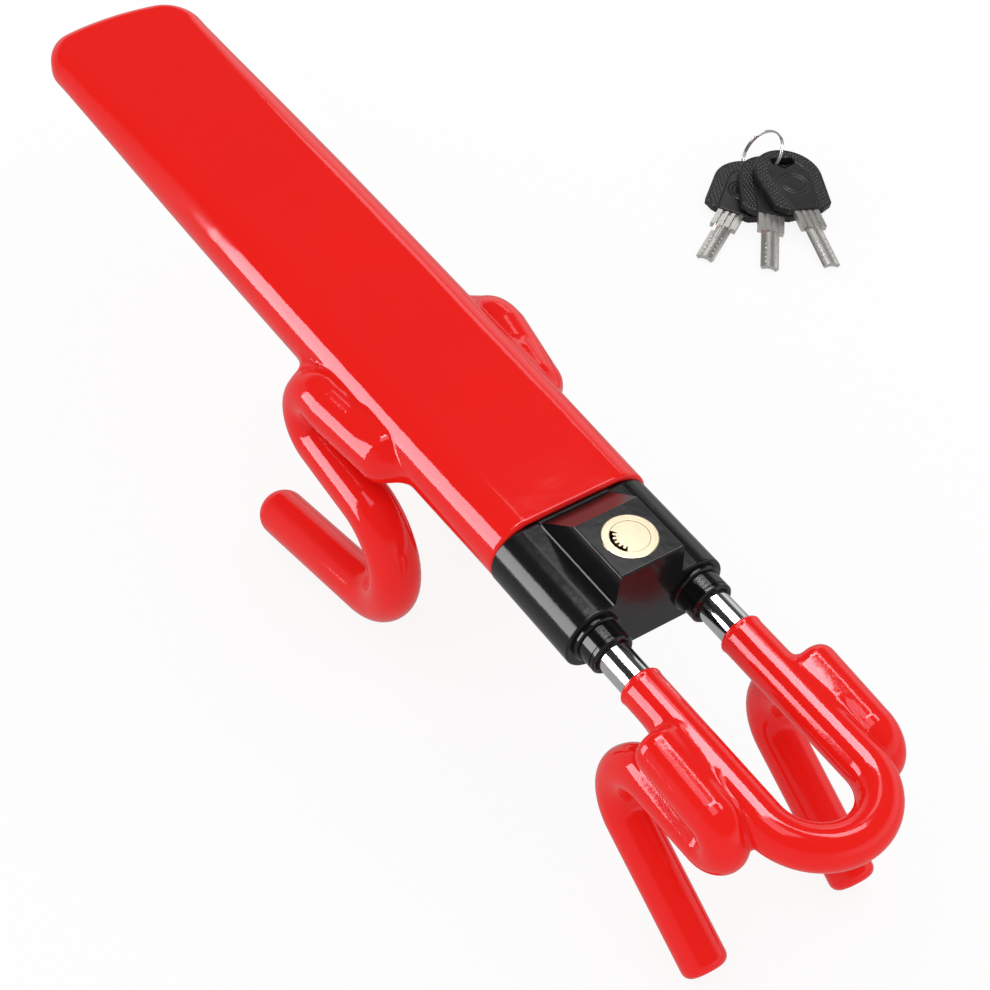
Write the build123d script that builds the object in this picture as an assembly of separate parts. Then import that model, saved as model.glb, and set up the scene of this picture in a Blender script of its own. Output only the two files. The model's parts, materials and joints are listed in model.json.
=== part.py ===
"""Twin-bar steering wheel lock: every piece is a separate solid in its own STEP file.

Millimetres.  The lock is drawn in its bar frame: +X runs along the bars towards the U-bend, +Y to the
right-hand bar, +Z out of the key face; the origin is where the plug's axis meets the plane of the bars.
It is then laid down on its four hooks, which pitches it a few degrees, with the centre of the key face
as the origin of the finished part and +Z up.  Three keys on a ring lie on the same surface beside it.
"""
from build123d import *
from math import cos, radians, sin
import os

# ---- driving dimensions ---------------------------------------------------------------------------
BAR_D = 12.0              # chrome bar
BAR_GAP = 40.0            # between the bars' centre lines
COAT = 1.5                # vinyl on tube and bars
WALL = 1.8                # steel tube wall

MOUTH_X = -31.0           # tube mouth
PINCH_X = -212.0          # where the flattening of the tube starts
END_X = -349.0            # closed end of the steel tube
TUBE_T = 12.1             # half height of the steel tube
END_T = 5.2               # half height where the tube is flattened
MOUTH_W = 30.2            # half width at the mouth
GRIP_W = 31.7             # half width along the grip

FACE_X = 12.4             # front face of the lock housing
HOUSING_W = 31.2          # half width of the visible housing
HOUSING_TOP = 11.0
HOUSING_BOTTOM = -13.4
HOUSING_REAR = -75.0      # rear end of the spigot inside the tube
BOSS_TOP = 23.6
BOSS_HALF = 12.6          # half width of the boss's top

CYL_R = 9.5               # brass cylinder shell
PLUG_R = 6.6
FACE_Z = 23.9             # brass face, just proud of the boss
CAM_TOP = 3.0
POCKET_BOTTOM = -6.0
BOLT = 6.0                # lock bolt, square section
BOLT_THROW = 2.2
NOTCH_PITCH = 12.0
RETRACT = 12.0            # travel inwards from the stored position
EXTEND = 132.0            # travel outwards

COLLAR_X = 21.9           # front of the guide bushes
COLLAR_R = 8.0
COAT_X = 35.4             # where the vinyl on the bars starts
BEND_X = 96.4             # centre of the U-bend
ROD_REAR = -225.0

SEAT_PITCH = 4.57         # how far the lock leans forward when it stands on its four hooks, degrees
FLOOR_Z = -107.7          # the surface it stands on, below the centre of the key face

DOME_R = 15.8             # rounded end of a key's plastic bow
DOME_Y = -7.4             # its centre, seen from the ring hole
BOW_END = -31.3           # where the blade comes out of the bow
KEY_TIP = -65.2
BOW_THICK = 3.8
GRIP_BAND = 6.7           # textured band round the bow's smooth panel
EMBLEM_Y = -14.6          # centre of the engraved rings
BLADE_IN_R = 4.6          # the blade is a slice of a tube, like the keyway
BLADE_OUT_R = 6.45
BLADE_ARC = 40.0          # half of the slice, degrees
COLLAR_HALF_W = 5.9       # shoulder of the blade where it leaves the bow
COLLAR_LONG = 11.0
BLANK = 2.6               # thickness of the blank at the collar
RING_R = 11.7             # centre line of the split ring
RING_WIRE = 0.46          # radius of the ring's wire

EPS = 0.05
SIDES = {"left": -1, "right": 1}
os.makedirs("parts", exist_ok=True)


# ---- helpers --------------------------------------------------------------------------------------
def across(x, z=0.0):
    """A plane square to the bars at x: its own x is +Y and its own y is +Z."""
    return Plane(origin=(x, 0, z), x_dir=(0, 1, 0), z_dir=(1, 0, 0))


def oval(x, half_w, half_t, z=0.0):
    """A flat-oval section of the tube."""
    return across(x, z) * SlotOverall(2 * half_w, 2 * half_t)


def rod_x(x0, x1, y, z, r):
    """A round rod along X."""
    return Plane(origin=(x0, y, z), z_dir=(1, 0, 0)) * extrude(Circle(r), x1 - x0)


def disc_z(z0, z1, r, x=0.0, y=0.0):
    """A round disc or pin along Z."""
    return Pos(x, y, z0) * extrude(Circle(r), z1 - z0)


def block(x0, x1, y0, y1, z0, z1):
    """A box given by its limits."""
    return Pos((x0 + x1) / 2, (y0 + y1) / 2, (z0 + z1) / 2) * Box(x1 - x0, y1 - y0, z1 - z0)


def hook_path(side, y, start, leg, turn_1, leg_2, turn_2, tip):
    """Centre line of a hook in its own vertical plane.

    side is +1 where the weld leg runs towards +X and -1 where it runs towards -X; start is the (x, z) of
    the weld leg's free end; a turn is (radius, degrees); the first turn bends down and back, the second
    one out again, and tip is the length of the last leg.
    """
    x, z, heading = start[0] * side, start[1], 0.0
    edges = []

    def at(px, pz):
        return Vector(px * side, y, pz)

    def straight(length):
        nonlocal x, z
        nx, nz = x + length * cos(heading), z + length * sin(heading)
        edges.append(Line(at(x, z), at(nx, nz)))
        x, z = nx, nz

    def bend(radius, angle, sense):
        nonlocal x, z, heading
        cx, cz = x - sense * radius * sin(heading), z + sense * radius * cos(heading)
        mid, end = heading + sense * angle / 2, heading + sense * angle
        points = [(cx + sense * radius * sin(h), cz - sense * radius * cos(h)) for h in (mid, end)]
        edges.append(ThreePointArc(at(x, z), at(*points[0]), at(*points[1])))
        (x, z), heading = points[1], end

    straight(leg)
    bend(turn_1[0], radians(turn_1[1]), -1)
    straight(leg_2)
    bend(turn_2[0], radians(turn_2[1]), 1)
    straight(tip)
    return Wire(edges)


def along(path, radius):
    """A round rod of the given radius swept along a wire."""
    start = Plane(origin=path @ 0, z_dir=path % 0)
    return sweep(start * Circle(radius), path=path)


# ---- tube -----------------------------------------------------------------------------------------
def tube_form(grow, x_mouth=MOUTH_X):
    """The outside of the pinched flat-oval tube, grown all round by `grow`, up to its mouth."""
    grip = [(0, MOUTH_W - 0.3, TUBE_T), (-95, (MOUTH_W + GRIP_W) / 2 + 0.2, TUBE_T), (PINCH_X, GRIP_W, TUBE_T)]
    flat = [(PINCH_X, GRIP_W, TUBE_T), (-262, GRIP_W, 0.72 * TUBE_T + 0.28 * END_T),
            (-310, GRIP_W, 0.25 * TUBE_T + 0.75 * END_T), (END_X - 12, GRIP_W, END_T)]
    body = loft([oval(x, w + grow, t + grow) for x, w, t in grip])
    body += loft([oval(x, w + grow, t + grow) for x, w, t in flat])
    return body & tube_plan(grow, x_mouth)


def tube_plan(grow, x_mouth):
    """The outline of the tube seen from above, with its rounded closed end, as a tall prism."""
    half, end = GRIP_W + grow + 0.6, END_X - grow
    shoulder = end + 5.5
    outline = Wire([
        Line((x_mouth, half), (shoulder, half)),
        ThreePointArc((shoulder, half), (end, 0), (shoulder, -half)),
        Line((shoulder, -half), (x_mouth, -half)),
        Line((x_mouth, -half), (x_mouth, half)),
    ])
    face = make_face(outline)
    corners = [v for v in face.vertices() if v.X < shoulder + 1]
    face = fillet(corners, 17)
    return Pos(0, 0, -40) * extrude(face, 80)


def end_rounded(shape, radius):
    """Round the top and bottom edges of the closed end."""
    rim = [e for e in shape.edges() if e.center().X < END_X + 24 and abs(e.center().Z) > 0.6 * END_T]
    return fillet(rim, radius)


def body_tube():
    """The steel tube: open at the mouth, pressed flat and closed at the grip end."""
    outer = end_rounded(tube_form(0), 2.0)
    inner = tube_form(-WALL, MOUTH_X + 10) & block(END_X + 9, MOUTH_X + 20, -60, 60, -60, 60)
    return outer - inner - housing_pin_shape(0.02)


def body_coating():
    """The vinyl skin of the tube, with a rolled lip over the mouth."""
    lip_x = MOUTH_X + COAT
    skin = end_rounded(tube_form(COAT, lip_x), 3.2)
    lip = [e for e in skin.edges() if abs(e.center().X - lip_x) < 0.01]
    skin = fillet(lip, 0.9)
    skin -= tube_form(0)
    skin -= extrude(oval(MOUTH_X - 1, MOUTH_W - 0.4, TUBE_T - 0.4), 4)
    for s in SIDES.values():
        skin = skin - along(body_hook_path(s), BODY_HOOK_R) - weld_bead_body(s)
    return skin


# ---- hooks ----------------------------------------------------------------------------------------
BODY_HOOK_R = 7.5
BODY_HOOK_SKIN_R = 9.3
BODY_HOOK_Y = 36.5
BAR_HOOK_R = 6.0
BAR_HOOK_SKIN_R = 8.0
BAR_HOOK_Y = 30.9
BAR_HOOK_BEND = (7.0, 184)


def body_hook_path(s):
    return hook_path(-1, s * BODY_HOOK_Y, (-81.6, -1.5), 42.0, (11.0, 173), 28.0, (23.0, 159), 64.0)


def bar_hook_path(s):
    return hook_path(1, s * BAR_HOOK_Y, (55.4, 0.3), 36.0, BAR_HOOK_BEND, 30.0, (16.0, 149), 52.0)


def rounded_rod(path, radius, edge, ends=(0, 1)):
    """A swept rod with rounded rims at its start (0), its end (1) or both."""
    rod = along(path, radius)
    tips = [path @ e for e in ends]
    rims = [e for e in rod.edges() if e.geom_type == GeomType.CIRCLE and abs(e.radius - radius) < 1e-3
            and min((e.arc_center - tip).length for tip in tips) < 1e-3]
    return fillet(rims, edge)


def longer(path, extra):
    """The same wire with straight pieces of length `extra` added at both ends."""
    head = Line(path @ 0 - (path % 0) * extra, path @ 0)
    tail = Line(path @ 1, path @ 1 + (path % 1) * extra)
    return Wire([head] + list(path.edges()) + [tail])


def tight_bend(s, top, radius, angle, rod_r):
    """A bend whose centre line is tighter than the rod is thick.

    The rod's section at the top of the bend, cut off at the bend's axis, is turned about that axis.
    """
    axis_at = top - Vector(0, 0, radius)
    section = Pos(0, radius) * Circle(rod_r) & Pos(0, 2 * rod_r) * Rectangle(4 * rod_r, 4 * rod_r)
    face = Plane(origin=axis_at, x_dir=(0, 1, 0), z_dir=(1, 0, 0)) * section
    return revolve(face, Axis(axis_at, (0, s, 0)), angle)


def body_hook(s):
    """A steel hook, coped where its weld leg seats on the tube."""
    return rounded_rod(body_hook_path(s), BODY_HOOK_R, 1.5) - tube_form(EPS)


def body_hook_coating(s):
    path = body_hook_path(s)
    skin = rounded_rod(longer(path, COAT), BODY_HOOK_SKIN_R, 3.5)
    return skin - along(path, BODY_HOOK_R) - tube_form(COAT + EPS) - weld_bead_body(s)


def bar_hook(s):
    """A steel hook, coped where its weld leg seats on the bar."""
    return rounded_rod(bar_hook_path(s), BAR_HOOK_R, 1.2) - along(bar_path(), BAR_D / 2 + EPS)


def bar_hook_coating(s):
    path = bar_hook_path(s)
    edges = longer(path, COAT).edges()
    weld_leg, rest = Wire(edges[:2]), Wire(edges[3:])
    skin = rounded_rod(weld_leg, BAR_HOOK_SKIN_R, 3.0, ends=(0,))
    skin += tight_bend(1, weld_leg @ 1, *BAR_HOOK_BEND, BAR_HOOK_SKIN_R)
    skin += rounded_rod(rest, BAR_HOOK_SKIN_R, 3.0, ends=(1,))
    return skin - along(path, BAR_HOOK_R) - along(bar_path(), BAR_D / 2 + COAT + EPS) - weld_bead_bar(s)


def bead(x0, x1, y0, y1, z0, z1):
    """A weld bead: a bar of rounded section laid in the groove beside a weld leg."""
    bar = block(x0, x1, y0, y1, z0, z1)
    return fillet(bar.edges().filter_by(Axis.X), 0.45 * min(y1 - y0, z1 - z0))


def weld_bead_body(s):
    x0, x1 = -118.0, -84.0
    y0, y1 = sorted((s * 24.5, s * 33.5))
    raw = bead(x0, x1, y0, y1, 4.0, 11.5)
    return raw - tube_form(EPS) - along(body_hook_path(s), BODY_HOOK_R + EPS)


def weld_bead_bar(s):
    y0, y1 = sorted((s * 22.5, s * 28.5))
    raw = bead(58, 88, y0, y1, 1.0, 6.5)
    return raw - along(bar_path(), BAR_D / 2 + EPS) - along(bar_hook_path(s), BAR_HOOK_R + EPS)


# ---- lock housing ---------------------------------------------------------------------------------
def housing_section(x, grow=0.0):
    mid = (HOUSING_TOP + HOUSING_BOTTOM) / 2
    tall = HOUSING_TOP - HOUSING_BOTTOM + 2 * grow
    return across(x, mid) * RectangleRounded(2 * (HOUSING_W + grow), tall, tall / 2 - 0.6)


def lock_housing():
    """Die-cast housing: a spigot in the tube, an oval front and a raised boss for the cylinder."""
    front = extrude(housing_section(MOUTH_X + COAT + EPS), FACE_X - MOUTH_X - COAT - EPS)
    face_rim = front.faces().sort_by(Axis.X)[-1].edges()
    front = fillet(face_rim, 0.8)
    spigot = extrude(oval(HOUSING_REAR, MOUTH_W - WALL - 0.1, TUBE_T - WALL - 0.1), MOUTH_X + COAT + 1 - HOUSING_REAR)
    body = front + spigot + boss()
    for s in SIDES.values():
        body -= rod_x(HOUSING_REAR - 1, FACE_X + 1, s * BAR_GAP / 2, 0, BAR_D / 2 + 0.1)
        body -= rod_x(5, FACE_X + 1, s * BAR_GAP / 2, 0, COLLAR_R)
    body -= disc_z(POCKET_BOTTOM, BOSS_TOP + 2, CYL_R)
    body -= block(-BOLT / 2 - 0.1, BOLT / 2 + 0.1, -15, 15, -BOLT / 2 - 0.1, BOLT / 2 + 0.1)
    body -= disc_z(CAM_TOP + 1, 14, 1.5, -CYL_R)
    return body - housing_pin_shape(0.02)


def housing_pin_shape(grow):
    """Two pins driven up through the tube's underside into the spigot."""
    return [disc_z(-TUBE_T - 1 - grow, -4 + grow, 2.0 + grow, -52, y) for y in (-6, 6)]


def housing_pins():
    limit = tube_form(-0.2)
    return [pin & limit for pin in housing_pin_shape(0)]


def boss():
    """The drafted boss under the key face, on a low plinth, with a sloping back."""
    low = Pos(0, 0, 8) * make_face(Polyline((-32.6, -13.5), (FACE_X, -13.5), (FACE_X, 13.5), (-32.6, 13.5),
                                            close=True))
    high = Pos(0, 0, BOSS_TOP) * make_face(Polyline((-12.6, -BOSS_HALF), (FACE_X, -BOSS_HALF),
                                                    (FACE_X, BOSS_HALF), (-12.6, BOSS_HALF), close=True))
    form = loft([low, high], ruled=True)
    form = fillet(form.edges().group_by(Axis.Z)[-1], 0.7)
    form &= block(MOUTH_X + COAT + EPS, FACE_X, -20, 20, 5, 40)
    plinth = block(MOUTH_X + COAT + EPS, FACE_X, -14.3, 14.3, 6, HOUSING_TOP + 0.5)
    return form + chamfer(plinth.edges().group_by(Axis.Z)[-1].filter_by(Axis.X), 0.4)


def guide_bush(s):
    """A black bush round one bar: flange, barrel with a front bead, and a spigot in the housing."""
    y = s * BAR_GAP / 2
    profile = Polyline((5.2, BAR_D / 2 + 0.08), (5.2, COLLAR_R - 0.02), (FACE_X + EPS, COLLAR_R - 0.02),
                       (FACE_X + EPS, 9.2), (FACE_X + 1.4, 9.2), (FACE_X + 1.9, 8.7), (FACE_X + 1.9, COLLAR_R),
                       (COLLAR_X - 2.2, COLLAR_R), (COLLAR_X - 2.0, COLLAR_R - 0.35),
                       (COLLAR_X - 1.6, COLLAR_R - 0.35), (COLLAR_X - 1.4, COLLAR_R),
                       (COLLAR_X - 0.6, COLLAR_R), (COLLAR_X, COLLAR_R - 0.6), (COLLAR_X, 6.9),
                       (COLLAR_X - 0.8, BAR_D / 2 + 0.08), close=True)
    ring = revolve(Plane.XZ * make_face(Plane.XY * profile), Axis.X)
    return Pos(0, y, 0) * ring


# ---- cylinder, plug and bolts ---------------------------------------------------------------------
PIN_Z = [8.6 + 2.9 * n for n in range(5)]


def pin_row(r, y0, y1):
    """Five pins along Y, one above the other."""
    return [Plane(origin=(0, y0, z), z_dir=(0, 1, 0)) * extrude(Circle(r), y1 - y0) for z in PIN_Z]


def cylinder_shell():
    shell = disc_z(CAM_TOP + 1, FACE_Z, CYL_R - 0.02)
    shell = fillet(shell.edges().filter_by(GeomType.CIRCLE).group_by(Axis.Z)[-1], 0.4)
    shell -= disc_z(0, FACE_Z + 1, PLUG_R + EPS)
    for hole in pin_row(1.15, PLUG_R - 1, CYL_R + 1):
        shell -= hole
    return shell - disc_z(CAM_TOP, 14, 1.5, -CYL_R)


def keyway():
    """The crescent keyway on the plug's -Y side, with ward teeth on its inner edge."""
    inner, outer, half_arc, centre = 4.4, PLUG_R + 1, 50.0, -94.0
    ring = Circle(outer) - Circle(inner)
    reach = 3 * outer
    wedge = Polyline((0, 0), (reach * cos(radians(centre - half_arc)), reach * sin(radians(centre - half_arc))),
                     (reach * cos(radians(centre + half_arc)), reach * sin(radians(centre + half_arc))), close=True)
    slot = ring & make_face(wedge)
    for n in range(5):
        angle = centre - half_arc + 12 + 19 * n
        slot -= Rot(0, 0, angle) * Pos(inner + 0.4, 0) * RectangleRounded(1.6, 0.9, 0.35)
    return Pos(0, 0, CAM_TOP + 3) * extrude(slot, FACE_Z)


def plug():
    body = disc_z(CAM_TOP + 0.3, FACE_Z - 0.05, PLUG_R)
    body += disc_z(-4.6, CAM_TOP + 1, 3.4)
    body -= block(-5, 5, 2.6, 5, -5, CAM_TOP + 0.3) + block(-5, 5, -5, -2.6, -5, CAM_TOP + 0.3)
    for hole in pin_row(1.15, -PLUG_R, PLUG_R + 1):
        body -= hole
    body -= keyway()
    return body - (disc_z(-4.3, -3.7, 5) - disc_z(-5, -3, 2.9))


def cam():
    """Oval cam on the plug's tail: narrow across the bolts at rest, wide across them when locked."""
    form = extrude(Pos(0, 0, -3.0) * Ellipse(7.8, 5.7), CAM_TOP + 2.9)
    tail = disc_z(-5, 5, 3.45) & block(-5, 5, -2.65, 2.65, -5, 5)
    return form - tail


def cam_clip():
    ring = disc_z(-4.25, -3.75, 5.2) - disc_z(-5, -3, 2.95)
    return ring - block(0, 6, -1.8, 1.8, -5, -3)


def lock_bolt(s):
    y0, y1 = 6.0, BAR_GAP / 2 - BAR_D / 2 - 0.25
    bolt = block(-BOLT / 2, BOLT / 2, y0, y1, -BOLT / 2, BOLT / 2)
    bolt = chamfer(bolt.faces().sort_by(Axis.Y)[-1].edges(), 0.5)
    bolt -= block(-0.9, 0.9, 5, 9.6, -4, -1.4)
    return bolt if s > 0 else mirror(bolt, Plane.XZ)


def bolt_spring():
    """A C-shaped wire spring under the bolts; its turned-up ends pull both of them inwards."""
    r, z = 8.6, -4.9
    arc = ThreePointArc((0, r, z), (-r, 0, z), (0, -r, z))
    ring = sweep(Plane(origin=arc @ 0, z_dir=arc % 0) * Circle(0.45), path=arc)
    for y in (r, -r):
        ring += disc_z(z - 0.6, -1.8, 0.6, 0, y)
    return ring


# ---- hook bar -------------------------------------------------------------------------------------
def bar_path(x_rear=ROD_REAR):
    y = BAR_GAP / 2
    return Wire([Line((x_rear, -y, 0), (BEND_X, -y, 0)),
                 ThreePointArc((BEND_X, -y, 0), (BEND_X + y, 0, 0), (BEND_X, y, 0)),
                 Line((BEND_X, y, 0), (x_rear, y, 0))])


def u_bar():
    """One bent bar, notched on the inner side of both legs, with turned-down rear ends."""
    bar = along(bar_path(), BAR_D / 2)
    inner = BAR_GAP / 2 - BAR_D / 2
    notches = int((RETRACT + EXTEND) / NOTCH_PITCH) + 1
    for s in SIDES.values():
        y0, y1 = sorted((s * (inner - 1), s * (inner + BOLT_THROW + 0.2)))
        for n in range(notches):
            x = RETRACT - n * NOTCH_PITCH
            bar -= block(x - BOLT / 2 - 0.5, x + BOLT / 2 + 0.5, y0, y1, -7, 7)
        sleeve = rod_x(ROD_REAR - 1, ROD_REAR + 9, s * BAR_GAP / 2, 0, 8)
        bar -= sleeve - rod_x(ROD_REAR - 2, ROD_REAR + 10, s * BAR_GAP / 2, 0, 4)
    return bar


def u_bar_coating():
    y = BAR_GAP / 2
    path = bar_path(COAT_X)
    skin = along(path, BAR_D / 2 + COAT)
    ends = [e for e in skin.edges() if e.geom_type == GeomType.CIRCLE and abs(e.center().X - COAT_X) < 0.01]
    skin = fillet(ends, 0.7)
    skin -= along(bar_path(COAT_X - 5), BAR_D / 2)
    for s in SIDES.values():
        skin = skin - along(bar_hook_path(s), BAR_HOOK_R) - weld_bead_bar(s)
    return skin


def stop_plate():
    """The plate that ties the two rear ends together and stops the bar at the housing."""
    x = ROD_REAR + 5.9
    plate = extrude(oval(x, 27.5, 8.4), 3.0)
    for s in SIDES.values():
        plate -= rod_x(x - 1, x + 5, s * BAR_GAP / 2, 0, 4.03)
    return plate


def stop_nuts():
    nuts = []
    for s in SIDES.values():
        hexagon = Plane(origin=(ROD_REAR + 0.6, s * BAR_GAP / 2, 0), z_dir=(1, 0, 0)) * RegularPolygon(7.2, 6)
        nut = extrude(hexagon, 5.2)
        nuts.append(nut - rod_x(ROD_REAR - 1, ROD_REAR + 8, s * BAR_GAP / 2, 0, 4.03))
    return nuts


# ---- keys -----------------------------------------------------------------------------------------
# A key is drawn flat: the ring hole at the origin, the blade towards -Y, its middle plane at z = 0.
def bow_outline(inset=0.0):
    """A dome with sides that close in a little, cut off square above the blade with bevelled corners."""
    r = DOME_R - inset
    side_y, side_x = BOW_END + 3.4, 0.86 * DOME_R - inset
    top = Vector(0, DOME_Y + r)
    widest = [Vector(e * r, DOME_Y - 1.5) for e in (-1, 1)]
    return Wire([
        ThreePointArc(widest[0] + Vector(0, 1.5), top, widest[1] + Vector(0, 1.5)),
        Line(widest[1] + Vector(0, 1.5), widest[1]),
        Line(widest[1], (side_x, side_y)),
        Line((side_x, side_y), (side_x - 5.0, BOW_END)),
        Line((side_x - 5.0, BOW_END), (5.0 - side_x, BOW_END)),
        Line((5.0 - side_x, BOW_END), (-side_x, side_y)),
        Line((-side_x, side_y), widest[0]),
        Line(widest[0], widest[0] + Vector(0, 1.5)),
    ])


def key_hole():
    """The five-sided ring hole."""
    return make_face(Polyline((-5.6, 2.8), (5.6, 2.8), (5.6, -0.8), (0, -4.6), (-5.6, -0.8), close=True))


def key_bow():
    """A moulded bow: a groove parts the grip band from a smooth panel with two engraved rings."""
    half, depth, line = BOW_THICK / 2, 0.25, 0.5
    bow = Pos(0, 0, -half) * extrude(make_face(bow_outline()), BOW_THICK)
    bow = chamfer(bow.edges().group_by(Axis.Z)[-1] + bow.edges().group_by(Axis.Z)[0], 0.6)
    engraved = [make_face(bow_outline(GRIP_BAND)) - make_face(bow_outline(GRIP_BAND + line))]
    for radius in (6.9, 5.2):
        engraved.append(Pos(0, EMBLEM_Y) * (Circle(radius) - Circle(radius - line)))
    for shape in engraved:
        bow -= Pos(0, 0, half - depth) * extrude(shape, 1)
        bow -= Pos(0, 0, -half - 1 + depth) * extrude(shape, 1)
    bow -= Pos(0, 0, -half - 1) * extrude(key_hole(), BOW_THICK + 2)
    return bow - key_tang(EPS)


def key_tang(grow):
    """The flat root of the blade, buried in the bow."""
    return block(-4.5 - grow, 4.5 + grow, BOW_END - 1, BOW_END + 14 + grow, -0.9 - grow, 0.9 + grow)


def key_blade():
    """A blade cut as a slice of a tube, with a wide collar, milled grooves and dimples."""
    mid = (BLADE_IN_R + BLADE_OUT_R) / 2
    collar_y = BOW_END - COLLAR_LONG
    ring = Circle(BLADE_OUT_R) - Circle(BLADE_IN_R)
    reach = 3 * BLADE_OUT_R
    wedge = make_face(Polyline((0, 0), (reach * sin(radians(BLADE_ARC)), reach * cos(radians(BLADE_ARC))),
                               (-reach * sin(radians(BLADE_ARC)), reach * cos(radians(BLADE_ARC))), close=True))
    section = Plane(origin=(0, KEY_TIP, -mid), x_dir=(-1, 0, 0), z_dir=(0, 1, 0)) * (ring & wedge)
    blade = extrude(section, collar_y - KEY_TIP + 2)
    collar = block(-COLLAR_HALF_W, COLLAR_HALF_W, collar_y, BOW_END - EPS, -BLANK / 2, BLANK / 2)
    blade += collar + key_tang(0)
    for x in (-3.0, 0, 3.0):
        y0, y1 = BOW_END - EPS, collar_y - 9.2
        groove = Polyline((x - 0.75, y0), (x + 0.75, y0), (x + 0.25, y1), (x - 0.25, y1), close=True)
        blade -= Pos(0, 0, 0.45) * extrude(make_face(groove), 2)
    for n in range(5):
        for x in (-2.3, 2.3):
            blade -= Pos(x, KEY_TIP + 2.8 + 2.9 * n + 0.9 * (x > 0), 1.0) * Cone(0.35, 1.25, 1.4)
    return blade


def key_ring():
    """A split ring, drawn as two touching turns of wire."""
    return [Pos(0, 0, e * RING_WIRE) * Torus(RING_R, RING_WIRE - 0.02) for e in (-1, 1)]


# ---- standing the lock on its hooks, and the keys beside it -----------------------------------------
SEAT = Rot(0, SEAT_PITCH, 0) * Pos(0, 0, -FACE_Z)

# Where each key's ring hole is, with its height above the floor, and how the key leans: its turn about the
# vertical, then its roll sideways and its pitch along the blade.  The first lies on the floor and on the ring; each other one has its bow on
# the key before it and its tip on the floor.
KEY_LAY = {
    "1": ((-238.3, 257.6, 3.4), 31.9, 4.9, 0.6),
    "2": ((-232.2, 263.0, 7.7), 50.7, 9.7, 4.4),
    "3": ((-229.9, 266.6, 11.1), 71.6, 7.5, 7.6),
}
RING_LAY = ((-242.7, 265.8, 9.6), -114.2, 48.9, 174.5)


def lay(where, turn, roll, pitch):
    """A place from a position above the floor and the three angles."""
    return Pos(0, 0, FLOOR_Z) * Pos(*where) * Rot(0, 0, turn) * Rot(0, roll, 0) * Rot(pitch, 0, 0)


def write(name, solids, place):
    """Write one node from one solid or several."""
    items = solids if isinstance(solids, list) else [solids]
    flat = [place * s for item in items for s in item.solids()]
    export_step(flat[0] if len(flat) == 1 else Compound(children=flat), f"parts/{name}.step")


def lock_nodes():
    nodes = {
        "body_tube": body_tube(),
        "body_coating": body_coating(),
        "lock_housing": lock_housing(),
        "housing_pins": housing_pins(),
        "cylinder_shell": cylinder_shell(),
        "cylinder_pin": disc_z(CAM_TOP + 1.1, 13.9, 1.45, -CYL_R),
        "driver_pins": pin_row(1.1, PLUG_R + 0.08, CYL_R - 0.4),
        "bolt_spring": bolt_spring(),
        "plug": plug(),
        "key_pins": pin_row(1.1, -4.2, PLUG_R - 0.15),
        "cam": cam(),
        "cam_clip": cam_clip(),
        "u_bar": u_bar(),
        "u_bar_coating": u_bar_coating(),
        "stop_plate": stop_plate(),
        "stop_nuts": stop_nuts(),
        "body_welds": [weld_bead_body(s) for s in SIDES.values()],
        "bar_welds": [weld_bead_bar(s) for s in SIDES.values()],
    }
    for side, s in SIDES.items():
        nodes[f"body_hook_{side}"] = body_hook(s)
        nodes[f"body_hook_coating_{side}"] = body_hook_coating(s)
        nodes[f"bar_hook_{side}"] = bar_hook(s)
        nodes[f"bar_hook_coating_{side}"] = bar_hook_coating(s)
        nodes[f"guide_bush_{side}"] = guide_bush(s)
        nodes[f"lock_bolt_{side}"] = lock_bolt(s)
    return nodes


def main():
    for name, solids in lock_nodes().items():
        write(name, solids, SEAT)
    bow, blade = key_bow(), key_blade()
    for number, place in KEY_LAY.items():
        write(f"key_bow_{number}", bow, lay(*place))
        write(f"key_blade_{number}", blade, lay(*place))
    write("key_ring", key_ring(), lay(*RING_LAY))


main()
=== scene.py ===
"""Looks of a twin-bar steering wheel lock with three keys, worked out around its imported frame.

The lock is drawn in its own bar frame in millimetres: +X along the bars to the U-bend, +Y to the right-hand
bar, +Z out of the key face, with the origin where the plug's axis meets the plane of the bars.  laid() turns
that into the frame of the finished part, in metres: the lock leans forward on its four hooks, and the centre
of the key face is the origin.
"""
import json
import math

import bpy
import numpy as np
from bpy.props import FloatProperty, FloatVectorProperty, PointerProperty
from mathutils import Euler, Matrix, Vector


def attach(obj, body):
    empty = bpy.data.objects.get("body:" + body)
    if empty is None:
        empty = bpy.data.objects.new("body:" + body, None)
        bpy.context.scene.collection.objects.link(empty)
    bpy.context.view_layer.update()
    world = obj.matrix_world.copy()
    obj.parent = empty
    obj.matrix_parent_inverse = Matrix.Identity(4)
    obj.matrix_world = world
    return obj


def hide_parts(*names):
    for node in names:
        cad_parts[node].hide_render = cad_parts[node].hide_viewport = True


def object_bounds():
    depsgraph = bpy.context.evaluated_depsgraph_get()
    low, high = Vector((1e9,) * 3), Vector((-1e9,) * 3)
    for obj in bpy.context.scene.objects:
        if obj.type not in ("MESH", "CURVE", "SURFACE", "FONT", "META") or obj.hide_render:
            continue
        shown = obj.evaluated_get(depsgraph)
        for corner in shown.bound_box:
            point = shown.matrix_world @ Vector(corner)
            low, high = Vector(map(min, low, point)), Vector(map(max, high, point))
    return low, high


bl_info = {
    "name": "Steering wheel lock",
    "version": (1, 0, 0),
    "blender": (4, 5, 0),
    "location": "3D View > Sidebar > Wheel lock",
    "description": "Dipped vinyl, cast housing, brass cylinder and keys of a twin-bar steering wheel lock",
    "category": "Add Mesh",
}

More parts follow.
